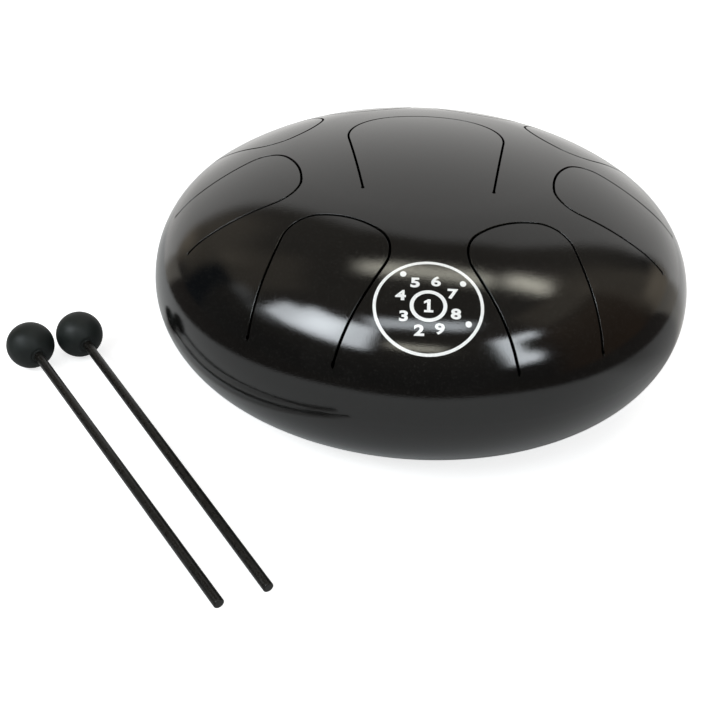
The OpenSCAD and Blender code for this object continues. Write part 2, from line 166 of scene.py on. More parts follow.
# Walls and windows, in degrees round from the front and up
ROOM_GLOWS = (
    ((-44.5, 43.0), (21.5, 10.8), 0.0, (3.0, 2.5), DAY, 11.2),
    ((-70.5, 40.0), (4.5, 7.5), 0.0, (3.0, 3.0), DAY, 10.0),
    ((-49.0, 43.5), (10.0, 7.0), 0.0, (8.0, 5.0), DAY, 6.5),
    ((-72.0, 29.5), (9.0, 3.0), 0.0, (6.0, 3.0), DAY, 0.8),
    ((-90.0, 32.0), (6.0, 4.0), 0.0, (4.0, 3.0), DAY, 0.5),
    ((40.5, 34.1), (5.0, 8.4), 0.0, (2.2, 2.2), DAY, 11.5),
    ((43.5, 21.5), (7.0, 4.2), 0.0, (2.5, 2.2), DAY, 11.5),
    ((51.0, 39.7), (5.5, 2.7), 0.0, (2.2, 1.8), DAY, 11.0),
    ((-1.0, 39.5), (12.0, 2.3), -0.08, (6.0, 2.5), LAMP, 7.0),
    ((-104.0, 46.0), (16.0, 14.0), 0.0, (6.0, 5.0), WALL, 0.20),
    ((-126.0, 24.0), (13.0, 18.0), 0.0, (5.0, 8.0), WALL, 0.22),
    ((-130.0, 2.0), (7.0, 14.0), 0.0, (5.0, 6.0), WALL, 0.35),
    ((86.0, 49.0), (26.0, 7.5), 0.0, (8.0, 3.0), WALL, 0.30),
    ((80.0, 14.0), (22.0, 26.0), 0.0, (8.0, 6.0), RUST, 0.09),
    ((110.0, 26.0), (9.0, 18.0), 0.0, (4.0, 8.0), WALL, 0.26),
    ((116.0, 0.0), (9.0, 14.0), 0.0, (4.0, 5.0), WALL, 0.50),
)
DARK_DOOR = ((-104.5, 6.0), (6.5, 24.0), 0.0, (2.5, 1.5))
# The ceiling, in rightward and backward distance for each unit of height
CEILING_GLOWS = (
    ((0.05, 0.130), (0.29, 0.047), -0.12, (0.06, 0.035), LAMP, 6.6),
    ((0.54, 0.130), (0.13, 0.055), 0.0, (0.06, 0.035), LAMP, 8.2),
    ((0.60, 0.21), (0.10, 0.03), 0.2, (0.06, 0.03), LAMP, 0.8),
    ((0.01, -0.535), (0.33, 0.098), 0.0, (0.06, 0.045), DAY, 7.3),
)

weld_low, weld_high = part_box("rim_weld")
RIM_Z = (weld_low[2] + weld_high[2]) / 2 / MM


# ---------------------------------------------------------------- camera

def turned(axis, angle, way):
    return Matrix.Rotation(angle, 3, axis) @ way


def place_camera():
    reach = VIEW_REACH * DRUM_R
    spot = Vector((0, -reach * math.cos(VIEW_RISE), reach * math.sin(VIEW_RISE)))
    ahead = -spot.normalized()
    right = ahead.cross(Vector((0, 0, 1))).normalized()
    up = right.cross(ahead)
    ahead, right = turned(up, AIM_ASIDE, ahead), turned(up, AIM_ASIDE, right)
    ahead, up = turned(right, AIM_DOWN, ahead), turned(right, AIM_DOWN, up)
    right, up = turned(ahead, AIM_TILT, right), turned(ahead, AIM_TILT, up)
    swing = Matrix.Rotation(VIEW_SWING, 3, "Z")
    look = swing @ Matrix((right, up, -ahead)).transposed()
    spot = swing @ spot + Vector((0, 0, RIM_Z))
    data = bpy.data.cameras.new("player_view")
    data.sensor_width = SENSOR_W
    data.lens = SENSOR_W * FOCUS_PX / PICTURE_PX
    data.clip_start, data.clip_end = 0.01, 50.0
    camera = bpy.data.objects.new("player_view", data)
    bpy.context.collection.objects.link(camera)
    camera.matrix_world = Matrix.Translation(spot * MM) @ look.to_4x4()
    bpy.context.scene.camera = camera


# ---------------------------------------------------------------- materials

class Finish:
    """A material, or a node group, whose nodes are added one line each."""

    def __init__(self, tree):
        self.tree = tree

    def add(self, kind, settings=None, **inputs):
        """Adds a node with its settings and inputs. An input called i_2 is the one numbered 2."""
        made = self.tree.nodes.new("ShaderNode" + kind)
        for name, value in (settings or {}).items():
            setattr(made, name, value)
        for name, value in inputs.items():
            self.feed(made, name.replace("_", " "), value)
        return made

    def feed(self, made, socket, value):
        if isinstance(socket, str) and socket.startswith("i "):
            socket = int(socket[2:])
        target = made.inputs[socket]
        if isinstance(value, bpy.types.NodeSocket):
            self.tree.links.new(value, target)
        else:
            target.default_value = value

    def maths(self, operation, first, second=0.0, third=0.0):
        return self.add("Math", {"operation": operation}, i_0=first, i_1=second, i_2=third).outputs[0]

    def ramp(self, value, low, high, to_low=0.0, to_high=1.0):
        made = self.add("MapRange", {"interpolation_type": "SMOOTHSTEP"}, Value=value)
        for socket, number in (("From Min", low), ("From Max", high), ("To Min", to_low), ("To Max", to_high)):
            self.feed(made, socket, number)
        return made.outputs["Result"]

    def blend(self, mask, first, second):
        return self.add("Mix", {"data_type": "RGBA"}, i_0=mask, i_6=first, i_7=second).outputs[2]


def shade(value):
    return (*value, 1.0)


def new_group(name, inputs, outputs):
    """Starts a node group; inputs are numbers with the value they have where a material gives none."""
    group = bpy.data.node_groups.new(name, "ShaderNodeTree")
    for socket, value in inputs:
        group.interface.new_socket(name=socket, in_out="INPUT", socket_type="NodeSocketFloat").default_value = value
    for socket, kind in outputs:
        group.interface.new_socket(name=socket, in_out="OUTPUT", socket_type="NodeSocket" + kind)
    return Finish(group), group.nodes.new("NodeGroupInput").outputs


def close_group(finish, **results):
    end = finish.tree.nodes.new("NodeGroupOutput")
    for name, value in results.items():
        finish.feed(end, name, value)
    return finish.tree


def new_finish(name):
    material = bpy.data.materials.new(name)
    material.use_nodes = True
    material.node_tree.nodes.clear()
    return material, Finish(material.node_tree)


def finish_with(finish, **settings):
    surface = finish.add("BsdfPrincipled")
    for name, value in settings.items():
        finish.feed(surface, name.replace("_", " "), value)
    end = finish.add("OutputMaterial")
    finish.tree.links.new(surface.outputs["BSDF"], end.inputs["Surface"])


def paint_grain_group():
    """Orange peel and fine flake of the sprayed gloss: a colour, a roughness and a height."""
    finish, given = new_group("paint_grain", (("Flake Scale", 2300.0), ("Peel Scale", 1900.0), ("Flake Lift", 0.12)),
                              (("Color", "Color"), ("Roughness", "Float"), ("Height", "Float")))
    place = finish.add("TexCoord").outputs["Object"]
    flake = finish.add("TexVoronoi", {"feature": "F1"}, Vector=place, Scale=given["Flake Scale"])
    shine = finish.add("SeparateColor", Color=flake.outputs["Color"]).outputs["Red"]
    peel = finish.add("TexNoise", Vector=place, Scale=given["Peel Scale"], Detail=1.0,
                      Roughness=0.5).outputs["Fac"]
    cloud = finish.add("TexNoise", Vector=place, Scale=22.0, Detail=3.0, Roughness=0.55).outputs["Fac"]
    deep = finish.blend(cloud, shade((0.0034, 0.0032, 0.0029)), shade((0.0052, 0.0050, 0.0047)))
    colour = finish.blend(finish.ramp(shine, 0.88, 1.0), deep, shade((0.014, 0.0135, 0.0125)))
    rough = finish.ramp(cloud, 0.3, 0.7, 0.05, 0.075)
    height = finish.maths("ADD", peel, finish.maths("MULTIPLY", shine, given["Flake Lift"]))
    return close_group(finish, Color=colour, Roughness=rough, Height=height)


def handling_group():
    """Faint dust and finger marks: a mask from 0 to the amount given."""
    finish, given = new_group("handling_marks", (("Amount", 0.2), ("Patch Scale", 35.0), ("Speck Scale", 420.0)),
                              (("Mask", "Float"),))
    place = finish.add("TexCoord").outputs["Object"]
    wide = finish.add("TexNoise", Vector=place, Scale=given["Patch Scale"], Detail=4.0,
                      Roughness=0.6).outputs["Fac"]
    specks = finish.add("TexVoronoi", {"feature": "F1"}, Vector=place,
                        Scale=given["Speck Scale"]).outputs["Distance"]
    dots = finish.ramp(specks, 0.05, 0.13, 1.0, 0.0)
    patch = finish.ramp(wide, 0.55, 0.75)
    mask = finish.maths("MAXIMUM", finish.maths("MULTIPLY", dots, patch), finish.maths("MULTIPLY", patch, 0.35))
    return close_group(finish, Mask=finish.maths("MULTIPLY", mask, given["Amount"]))


def rubber_grain_group():
    """Moulded rubber: a height and a mottle."""
    finish, given = new_group("rubber_grain", (("Pore Scale", 1100.0), ("Bump Share", 0.5), ("Mottle Scale", 90.0)),
                              (("Height", "Float"), ("Mottle", "Float")))
    place = finish.add("TexCoord").outputs["Object"]
    pores = finish.add("TexNoise", Vector=place, Scale=given["Pore Scale"], Detail=3.0,
                       Roughness=0.6).outputs["Fac"]
    bumps = finish.add("TexVoronoi", {"feature": "SMOOTH_F1"}, Vector=place, Scale=700.0).outputs["Distance"]
    mottle = finish.add("TexNoise", Vector=place, Scale=given["Mottle Scale"], Detail=3.0,
                        Roughness=0.5).outputs["Fac"]
    height = finish.maths("ADD", pores, finish.maths("MULTIPLY", bumps, given["Bump Share"]))
    return close_group(finish, Height=height, Mottle=mottle)


def use_group(finish, group, **inputs):
    made = finish.tree.nodes.new("ShaderNodeGroup")
    made.node_tree = group
    for name, value in inputs.items():
        finish.feed(made, name.replace("_", " "), value)
    return made.outputs


def gloss_black_paint(groups):
    material, finish = new_finish("gloss_black_paint")
    grain = use_group(finish, groups["paint"], Flake_Scale=2300.0, Peel_Scale=1900.0, Flake_Lift=0.12)
    marks = use_group(finish, groups["handling"], Amount=0.06)
    colour = finish.blend(marks["Mask"], grain["Color"], shade((0.10, 0.095, 0.085)))
    bump = finish.add("Bump", Height=grain["Height"], Strength=1.0, Distance=PEEL)
    finish_with(finish, Base_Color=colour, Roughness=grain["Roughness"], IOR=1.5, Normal=bump.outputs["Normal"])
    return material


def white_print(groups):
    material, finish = new_finish("white_print")
    place = finish.add("TexCoord").outputs["Object"]
    weave = finish.add("TexNoise", Vector=place, Scale=900.0, Detail=3.0, Roughness=0.7).outputs["Fac"]
    marks = use_group(finish, groups["handling"], Amount=0.25)
    colour = finish.blend(weave, shade((0.80, 0.80, 0.79)), shade((0.90, 0.90, 0.89)))
    colour = finish.blend(marks["Mask"], colour, shade((0.52, 0.51, 0.49)))
    bump = finish.add("Bump", Height=weave, Strength=0.2, Distance=0.00003)
    finish_with(finish, Base_Color=colour, Roughness=finish.ramp(weave, 0.3, 0.7, 0.32, 0.46),
                Normal=bump.outputs["Normal"], Coat_Weight=0.5, Coat_Roughness=0.08)
    return material


def moulded_rubber(name, groups, dark, light, rough_low, rough_high, pores):
    material, finish = new_finish(name)
    grain = use_group(finish, groups["rubber"], Pore_Scale=pores, Bump_Share=0.5, Mottle_Scale=90.0)
    marks = use_group(finish, groups["handling"], Amount=0.22)
    colour = finish.blend(finish.ramp(grain["Mottle"], 0.3, 0.7), shade(dark), shade(light))
    colour = finish.blend(marks["Mask"], colour, shade((0.14, 0.14, 0.13)))
    bump = finish.add("Bump", Height=grain["Height"], Strength=0.18, Distance=0.00008)
    rough = finish.ramp(grain["Mottle"], 0.3, 0.7, rough_low, rough_high)
    finish_with(finish, Base_Color=colour, Roughness=rough, Normal=bump.outputs["Normal"], Specular_IOR_Level=0.18)
    return material


def satin_black_stick(groups):
    material, finish = new_finish("satin_black_stick")
    place = finish.add("TexCoord").outputs["Object"]
    flow = finish.add("TexNoise", Vector=place, Scale=260.0, Detail=4.0, Roughness=0.6).outputs["Fac"]
    fine = finish.add("TexNoise", Vector=place, Scale=1600.0, Detail=2.0).outputs["Fac"]
    marks = use_group(finish, groups["handling"], Amount=0.2)
    colour = finish.blend(flow, shade((0.0045, 0.0042, 0.0036)), shade((0.0095, 0.0088, 0.0075)))
    colour = finish.blend(marks["Mask"], colour, shade((0.06, 0.06, 0.055)))
    height = finish.maths("ADD", flow, finish.maths("MULTIPLY", fine, 0.4))
    bump = finish.add("Bump", Height=height, Strength=0.2, Distance=0.0001)
    finish_with(finish, Base_Color=colour, Roughness=finish.ramp(flow, 0.3, 0.7, 0.24, 0.36),
                Normal=bump.outputs["Normal"], Specular_IOR_Level=0.26)
    return material


def zinc_steel(groups):
    material, finish = new_finish("zinc_plated_steel")
    place = finish.add("TexCoord").outputs["Object"]
    spangle = finish.add("TexVoronoi", {"feature": "F1"}, Vector=place, Scale=900.0).outputs["Color"]
    tone = finish.add("SeparateColor", Color=spangle).outputs["Red"]
    scratch = finish.add("TexNoise", Vector=place, Scale=2400.0, Detail=3.0).outputs["Fac"]
    marks = use_group(finish, groups["handling"], Amount=0.5)
    colour = finish.blend(tone, shade((0.46, 0.47, 0.48)), shade((0.66, 0.66, 0.65)))
    colour = finish.blend(marks["Mask"], colour, shade((0.20, 0.19, 0.17)))
    bump = finish.add("Bump", Height=scratch, Strength=0.25, Distance=0.00004)
    finish_with(finish, Base_Color=colour, Metallic=1.0, Roughness=finish.ramp(tone, 0.0, 1.0, 0.24, 0.40),
                Normal=bump.outputs["Normal"])
    return material


# ---------------------------------------------------------------- drum section

def on_arcs(arcs, x, y):
    """Height from the rim's plane and outward direction of a surface of revolution over a place in the plan."""
    r = math.hypot(x, y)
    for mid_r, mid_z, arc_r, start in arcs:
        if r >= start:
            break
    rise = math.sqrt(max(arc_r * arc_r - (r - mid_r) ** 2, 0.0))
    out, up = (r - mid_r) / arc_r, rise / arc_r
    if r < 1e-6:
        return mid_z + rise, Vector((0.0, 0.0, 1.0))
    return mid_z + rise, Vector((out * x / r, out * y / r, up))


def dome_at(x, y):
    height, way = on_arcs(TOP_ARCS, x, y)
    return Vector((x, y, RIM_Z + height)), way


def finished(name, bm, material, ways=None, sharp=40.0):
    """Turns a bmesh in millimetres into a piece; ways is a vertex layer of surface directions."""
    bmesh.ops.recalc_face_normals(bm, faces=bm.faces[:])
    bmesh.ops.scale(bm, vec=(MM, MM, MM), verts=bm.verts[:])
    for face in bm.faces:
        face.smooth = True
    bm.normal_update()
    if ways is None:
        for edge in bm.edges:
            if edge.calc_face_angle(0.0) > math.radians(sharp):
                edge.smooth = False
    directions = [tuple(v[ways]) for v in bm.verts] if ways is not None else None
    mesh = bpy.data.meshes.new(name)
    bm.to_mesh(mesh)
    bm.free()
    if directions:
        mesh.normals_split_custom_set_from_vertices(directions)
        mesh.attributes.remove(mesh.attributes["way"])
    mesh.materials.append(material)
    piece = bpy.data.objects.new(name, mesh)
    bpy.context.collection.objects.link(piece)
    return piece


# ---------------------------------------------------------------- tongues and slots

def tongue_place(turn, u, v):
    """From a tongue's own plan, with +v towards its root, to the drum's."""
    a = math.radians(turn)
    return (-u * math.cos(a) + v * math.sin(a), -u * math.sin(a) - v * math.cos(a))


def half_outline(tip, root, width, corner_r, arc_r, lean, let_out, outside):
    """One side of a tongue's outline from the middle of its free end to its root line."""
    t = math.radians(lean)
    corner_x = width / 2 - corner_r
    gap = arc_r - corner_r
    corner_v = tip + arc_r - math.sqrt(gap * gap - corner_x * corner_x)
    turn = math.asin(corner_x / gap)
    points = []
    for i in range(ARC_STEPS + 1):
        a = turn * i / ARC_STEPS
        points.append((math.sin(a) * (arc_r + let_out), tip + arc_r - math.cos(a) * (arc_r + let_out)))
    for i in range(1, CORNER_STEPS + 1):
        a = turn + (math.pi / 2 + t - turn) * i / CORNER_STEPS
        points.append((corner_x + math.sin(a) * (corner_r + let_out), corner_v - math.cos(a) * (corner_r + let_out)))
    start = Vector((corner_x, corner_v)) + (corner_r + SLOT_W / 2) * Vector((math.cos(t), math.sin(t)))
    end = Vector((start.x - (root - start.y) * math.tan(t), root))
    hole_r = PIERCE_R + EDGE_R
    aside = let_out - SLOT_W / 2
    along = math.sqrt(hole_r * hole_r - aside * aside)
    meet = aside * Vector((math.cos(t), math.sin(t))) + along * Vector((math.sin(t), -math.cos(t)))
    first = math.atan2(meet.y, meet.x)
    last = math.pi if outside else -math.pi
    steps = HOLE_OUT_STEPS if outside else HOLE_IN_STEPS
    for i in range(steps + 1):
        a = first + (last - first) * i / steps
        points.append((end.x + hole_r * math.cos(a), end.y + hole_r * math.sin(a)))
    points[-1] = (end.x - hole_r, root)
    return points


def outline(spec, let_out, outside):
    """A tongue's whole outline in the drum's plan, let out from the tongue's own edge."""
    half = half_outline(*spec[3:], let_out, outside)
    whole = half + [(-u, v) for u, v in reversed(half[1:])]
    return [tongue_place(spec[2], u, v) for u, v in whole]


def root_ends(spec):
    """The two ends of a tongue's root line in the drum's plan."""
    half = half_outline(*spec[3:], -EDGE_R, False)
    u, v = half[-1]
    return Vector(tongue_place(spec[2], u, v)), Vector(tongue_place(spec[2], -u, v))


def cut_on_grid(bm, step):
    """Cuts a flat mesh along every line of a square grid."""
    for axis, side in enumerate((Vector((1.0, 0.0, 0.0)), Vector((0.0, 1.0, 0.0)))):
        low = min(v.co[axis] for v in bm.verts)
        high = max(v.co[axis] for v in bm.verts)
        for k in range(math.ceil(low / step), math.floor(high / step) + 1):
            bmesh.ops.bisect_plane(bm, geom=bm.verts[:] + bm.edges[:] + bm.faces[:], dist=CUT_NEAR,
                                   plane_co=side * (k * step), plane_no=side)


def flat_sheet(loops, step):
    """Fills outlines and cuts the fill on one grid, so that neighbours share their corners."""
    bm = bmesh.new()
    for loop in loops:
        corners = [bm.verts.new((x, y, 0.0)) for x, y in loop]
        for i, corner in enumerate(corners):
            bm.edges.new((corners[i - 1], corner))
    bmesh.ops.triangle_fill(bm, use_beauty=True, edges=bm.edges[:], normal=(0.0, 0.0, 1.0))
    cut_on_grid(bm, step)

    def on_grid(edge):
        for axis in (0, 1):
            a, b = edge.verts[0].co[axis], edge.verts[1].co[axis]
            if abs(a - b) < 2 * TOUCH and abs(a / step - round(a / step)) < TOUCH:
                return True
        return False

    spare = [e for e in bm.edges if len(e.link_faces) == 2 and not on_grid(e)]
    bmesh.ops.dissolve_edges(bm, edges=spare, use_verts=False)
    loose = [v for v in bm.verts if len(v.link_edges) == 2 and not v.is_boundary]
    bmesh.ops.dissolve_verts(bm, verts=loose)
    return bm


def grown(bm, edges):
    """Extrudes edges and gives the new edges and a map from each new vertex to the one it came from."""
    made = bmesh.ops.extrude_edge_only(bm, edges=edges)["geom"]
    fresh = dict.fromkeys(g for g in made if isinstance(g, bmesh.types.BMVert))
    source = {}
    for v in fresh:
        for e in v.link_edges:
            other = e.other_vert(v)
            if other not in fresh:
                source[v] = other
    new_edges = dict.fromkeys(e for v in fresh for e in v.link_edges if e.other_vert(v) in fresh)
    return [e for e in new_edges if len(e.link_faces) == 1], source


def near_line(p, a, b):
    run = b - a
    t = (p - a).dot(run) / run.length_squared
    return -PAST_END < t < 1 + PAST_END and ((a + run * t) - p).length < ON_LINE


def split_border(bm):
    """The sheet's open edges: those at the drum's rim, and those along the cuts."""
    rim_edges, cut_edges = [], []
    for edge in bm.edges:
        if len(edge.link_faces) != 1:
            continue
        a, b = (v.co.to_2d() for v in edge.verts)
        (rim_edges if min(a.length, b.length) > SKIRT_R - 0.1 else cut_edges).append(edge)
    return rim_edges, cut_edges


def ways_out(cut_edges, roots):
    """For each corner along a cut, the sum of its edges' flat directions out of the sheet. A root line has none."""
    at_root = {e for e in cut_edges
               if any(near_line(e.verts[0].co.to_2d(), *r) and near_line(e.verts[1].co.to_2d(), *r) for r in roots)}
    towards = {}
    for edge in cut_edges:
        if edge in at_root:
            continue
        a, b = (v.co.to_2d() for v in edge.verts)
        side = Vector((b.y - a.y, a.x - b.x)).normalized()
        middle = edge.link_faces[0].calc_center_median().to_2d()
        if side.dot((a + b) / 2 - middle) < 0:
            side = -side
        for v in edge.verts:
            towards[v] = towards.get(v, Vector((0.0, 0.0))) + side
    return towards


def turned_down(bm, way, row):
    """Carries the dome's border down its bend to the weld, and gives the last row of edges."""
    mid_r, _, bend_r, _ = TOP_ARCS[0]
    first = math.asin((dome_at(SKIRT_R, 0)[0].z - RIM_Z) / bend_r)
    last = math.asin(WELD_HALF / bend_r)
    for i in range(1, SKIRT_ROWS + 1):
        a = first + (last - first) * i / SKIRT_ROWS
        row, source = grown(bm, row)
        r, z = mid_r + bend_r * math.cos(a), RIM_Z + bend_r * math.sin(a)
        for v in source:
            out = v.co.to_2d().normalized()
            v.co = Vector((out.x * r, out.y * r, z))
            v[way] = Vector((out.x * math.cos(a), out.y * math.cos(a), math.sin(a)))
    return row


def inner_side(bm, way):
    """Doubles the sheet one thickness further in, facing inwards, and gives the new corners."""
    inner = bmesh.ops.duplicate(bm, geom=bm.verts[:] + bm.edges[:] + bm.faces[:])["geom"]
    inner_faces = [g for g in inner if isinstance(g, bmesh.types.BMFace)]
    inner_verts = [g for g in inner if isinstance(g, bmesh.types.BMVert)]
    for v in inner_verts:
        v.co = v.co - v[way] * SHEET_T
        v[way] = -v[way]
    bmesh.ops.reverse_faces(bm, faces=inner_faces)
    return inner_verts


def cut_walls(bm, way, cut_edges, towards):
    """Closes the cuts from the outside to the inside, with a rounded outer edge, and gives the last ring's corners."""
    base = {}
    for edge in cut_edges:
        for v in edge.verts:
            side = towards.get(v, Vector((0.0, 0.0)))
            side = Vector((side.x, side.y, 0.0))
            side = side - v[way] * side.dot(v[way])
            base[v] = (v.co.copy(), Vector(v[way]), side.normalized() if side.length > 0.01 else Vector())
    row, came = cut_edges, {v: v for v in base}
    half = math.sqrt(0.5)
    rings = ((half * EDGE_R, (1 - half) * EDGE_R, half), (EDGE_R, EDGE_R, 1.0), (EDGE_R, SHEET_T - WALL_SHORT, 1.0),
             (0.0, SHEET_T, -1.0))
    for out, depth, lean in rings:
        row, source = grown(bm, row)
        step = {}
        for v, parent in source.items():
            first = came[parent]
            place, up, side = base[first]
            v.co = place + side * out - up * depth
            if lean < 0:
                v[way] = -up
            elif side.length > 0.5:
                v[way] = (up * math.sqrt(max(1 - lean * lean, 0.0)) + side * lean).normalized()
            else:
                v[way] = up
            step[v] = first
        came = step
    return list(came)


def steel_skin(name, loops, roots, material, skirt=False):
    """A piece of the upper shell's sheet, cut on its outlines, domed and given its thickness and rounded edges."""
    bm = flat_sheet(loops, GRID)
    way = bm.verts.layers.float_vector.new("way")
    rim_edges, cut_edges = split_border(bm)
    towards = ways_out(cut_edges, roots)
    for v in bm.verts:
        if skirt and v.co.to_2d().length > SKIRT_R - 0.1:
            v.co *= SKIRT_R / v.co.length
        v.co, v[way] = dome_at(v.co.x, v.co.y)
    if skirt:
        weld_edges = turned_down(bm, way, rim_edges)
    inner_verts = inner_side(bm, way)
    last_ring = cut_walls(bm, way, cut_edges, towards)
    if skirt:
        source = grown(bm, weld_edges)[1]
        for v in source:
            v.co = v.co - v[way] * SHEET_T
            v[way] = -v[way]
            last_ring.append(v)
    bmesh.ops.remove_doubles(bm, verts=last_ring + inner_verts, dist=TOUCH)
    return finished(name, bm, material, way)


def rim_circle():
    return [(SKIRT_R * math.cos(math.tau * i / SPIN_STEPS), SKIRT_R * math.sin(math.tau * i / SPIN_STEPS))
            for i in range(SPIN_STEPS)]


def make_upper_skin(paint):
    loops = [rim_circle()] + [outline(spec, SLOT_W + EDGE_R, True) for spec in TONGUES]
    skin = steel_skin("upper_shell_skin", loops, [root_ends(spec) for spec in TONGUES], paint, skirt=True)
    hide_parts("upper_shell")
    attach(skin, "drum")


def make_tongue_skins(paint):
    for spec in TONGUES:
        node, body, turn, tip, root = spec[:5]
        skin = steel_skin(node + "_skin", [outline(spec, -EDGE_R, False)], [root_ends(spec)], paint)
        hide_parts(node)
        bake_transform(skin)


# ---------------------------------------------------------------- rim and underside

def spun(profile, closed, steps):
    """Spins a profile of (radius, height) round the drum's axis."""
    bm = bmesh.new()
    verts = [bm.verts.new((r, 0.0, z)) for r, z in profile]
    edges = [bm.edges.new((a, b)) for a, b in zip(verts, verts[1:])]
    if closed:
        edges.append(bm.edges.new((verts[-1], verts[0])))
    bmesh.ops.spin(bm, geom=verts + edges, cent=(0.0, 0.0, 0.0), axis=(0.0, 0.0, 1.0), angle=math.tau, steps=steps,
                   use_merge=True)
    return bm


def arc_points(mid_r, mid_z, arc_r, first, last, count):
    return [(mid_r + arc_r * math.cos(first + (last - first) * i / count),
             mid_z + arc_r * math.sin(first + (last - first) * i / count)) for i in range(count + 1)]


def make_rim_band(paint):
    upper_r, _, upper_bend, _ = TOP_ARCS[0]
    lower_r, _, lower_bend, _ = UNDER_ARCS[0]
    top, low = math.asin(WELD_HALF / upper_bend), math.asin(WELD_HALF / lower_bend)
    outside = arc_points(upper_r, RIM_Z, upper_bend, top, 0.0, 3)
    outside += arc_points(lower_r, RIM_Z, lower_bend, 0.0, -low, 3)[1:]
    inside = [(DRUM_R - WELD_IN, RIM_Z)]
    band = finished("rim_band", spun(outside + inside, True, SPIN_STEPS), paint)
    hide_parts("rim_weld")
    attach(band, "drum")


def under_points(depth):
    """The lower shell's section from the weld to the sound hole, at a depth in the sheet."""
    bend_mid, _, bend_r, bend_end = UNDER_ARCS[0]
    start = math.asin(WELD_HALF / bend_r)
    end = math.acos((bend_end - bend_mid) / bend_r)
    points = [(bend_mid + (bend_r - depth) * math.cos(a), RIM_Z - (bend_r - depth) * math.sin(a))
              for a in (start + (end - start) * i / BEND_STEPS for i in range(BEND_STEPS + 1))]
    _, bowl_z, bowl_r, _ = UNDER_ARCS[1]
    first = math.asin(bend_end / bowl_r)
    last = math.asin(SOUND_HOLE_R / (bowl_r - depth))
    for i in range(1, BOWL_STEPS + 1):
        a = first + (last - first) * i / BOWL_STEPS
        points.append(((bowl_r - depth) * math.sin(a), RIM_Z + bowl_z - (bowl_r - depth) * math.cos(a)))
    return points


def make_lower_skin(paint):
    profile = under_points(0.0) + list(reversed(under_points(SHEET_T)))
    skin = finished("lower_shell_skin", spun(profile, True, SPIN_STEPS), paint)
    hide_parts("lower_shell")
    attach(skin, "drum")


# ---------------------------------------------------------------- printed chart

def chart_point(a, b):
    """A place on the chart's plane, dropped square to that plane on the dome."""
    across, up = Vector((1, 0, 0)), Vector((0, math.cos(CHART_SLOPE), math.sin(CHART_SLOPE)))
    ahead = Vector((0, -math.sin(CHART_SLOPE), math.cos(CHART_SLOPE)))
    start = CHART_MID + Vector((0, 0, RIM_Z)) + across * a + up * b
    low, high = -CHART_SEARCH, CHART_SEARCH
    for _ in range(CHART_HALVINGS):
        middle = (low + high) / 2
        p = start + ahead * middle
        if p.z > dome_at(p.x, p.y)[0].z:
            high = middle
        else:
            low = middle
    p = start + ahead * low
    return dome_at(p.x, p.y)


def printed(name, bm, ink):
    """Cuts a flat mark finely, lays it on the dome and gives the ink its thickness."""
    cut_on_grid(bm, PRINT_GRID)
    way = bm.verts.layers.float_vector.new("way")
    for v in bm.verts:
        place, up = chart_point(v.co.x, v.co.y)
        v.co, v[way] = place + up * PRINT_LIFT, up
    border = [e for e in bm.edges if len(e.link_faces) == 1]
    under = bmesh.ops.duplicate(bm, geom=bm.verts[:] + bm.edges[:] + bm.faces[:])["geom"]
    under_verts = [g for g in under if isinstance(g, bmesh.types.BMVert)]
    bmesh.ops.reverse_faces(bm, faces=[g for g in under if isinstance(g, bmesh.types.BMFace)])
    row, source = grown(bm, border)
    low_verts = under_verts + list(source)
    for v in low_verts:
        v.co = v.co - v[way] * (PRINT_LIFT + PRINT_SINK)
        v[way] = -v[way]
    bmesh.ops.remove_doubles(bm, verts=low_verts, dist=TOUCH)
    mark = finished(name, bm, ink, way)
    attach(mark, "drum")
    return mark


def oval_ring(width, line):
    """A flat ring of the chart's proportions."""
    bm = bmesh.new()
    outer = bmesh.ops.create_circle(bm, cap_ends=False, segments=120, radius=1.0)["verts"]
    inner = bmesh.ops.create_circle(bm, cap_ends=False, segments=120, radius=1.0)["verts"]
    for verts, w in ((outer, width), (inner, width - 2 * line)):
        for v in verts:
            v.co = Vector((v.co.x * w / 2, v.co.y * w / 2 * CHART_H / CHART_W, 0.0))
    bmesh.ops.bridge_loops(bm, edges=bm.edges[:])
    return bm


def glyph(text, height, middle):
    """A bold numeral as a flat mesh with its middle at a place on the chart. Nine is six turned round."""
    data = bpy.data.curves.new("numeral", "FONT")
    data.body, data.size = text.replace("9", "6"), 1.0
    data.offset = BOLD_ROUND if text in "69" else BOLD
    data.align_x, data.fill_mode = "CENTER", "FRONT"
    holder = bpy.data.objects.new("numeral", data)
    bpy.context.collection.objects.link(holder)
    flat = bpy.data.meshes.new_from_object(holder.evaluated_get(bpy.context.evaluated_depsgraph_get()))
    bm = bmesh.new()
    bm.from_mesh(flat)
    bpy.data.objects.remove(holder)
    bpy.data.curves.remove(data)
    bpy.data.meshes.remove(flat)
    bmesh.ops.remove_doubles(bm, verts=bm.verts[:], dist=CUT_NEAR)
    bmesh.ops.dissolve_degenerate(bm, dist=2 * CUT_NEAR, edges=bm.edges[:])
    low = [min(v.co[i] for v in bm.verts) for i in (0, 1)]
    high = [max(v.co[i] for v in bm.verts) for i in (0, 1)]
    size = (-1.0 if text == "9" else 1.0) * height / (high[1] - low[1])
    for v in bm.verts:
        v.co = Vector(((v.co.x - (low[0] + high[0]) / 2) * size * GLYPH_WIDEN + middle[0],
                       (v.co.y - (low[1] + high[1]) / 2) * size + middle[1], 0.0))
    return bm


def numeral_one(height):
    """A bold one with a flag and a foot, for the middle of the chart."""
    bm = bmesh.new()
    corners = ((-0.30, -0.50), (0.34, -0.50), (0.34, -0.33), (0.14, -0.33), (0.14, 0.50), (-0.03, 0.50),
               (-0.32, 0.33), (-0.32, 0.15), (-0.10, 0.26), (-0.10, -0.33), (-0.30, -0.33))
    bm.faces.new([bm.verts.new((x * height, y * height, 0.0)) for x, y in corners])
    return bm


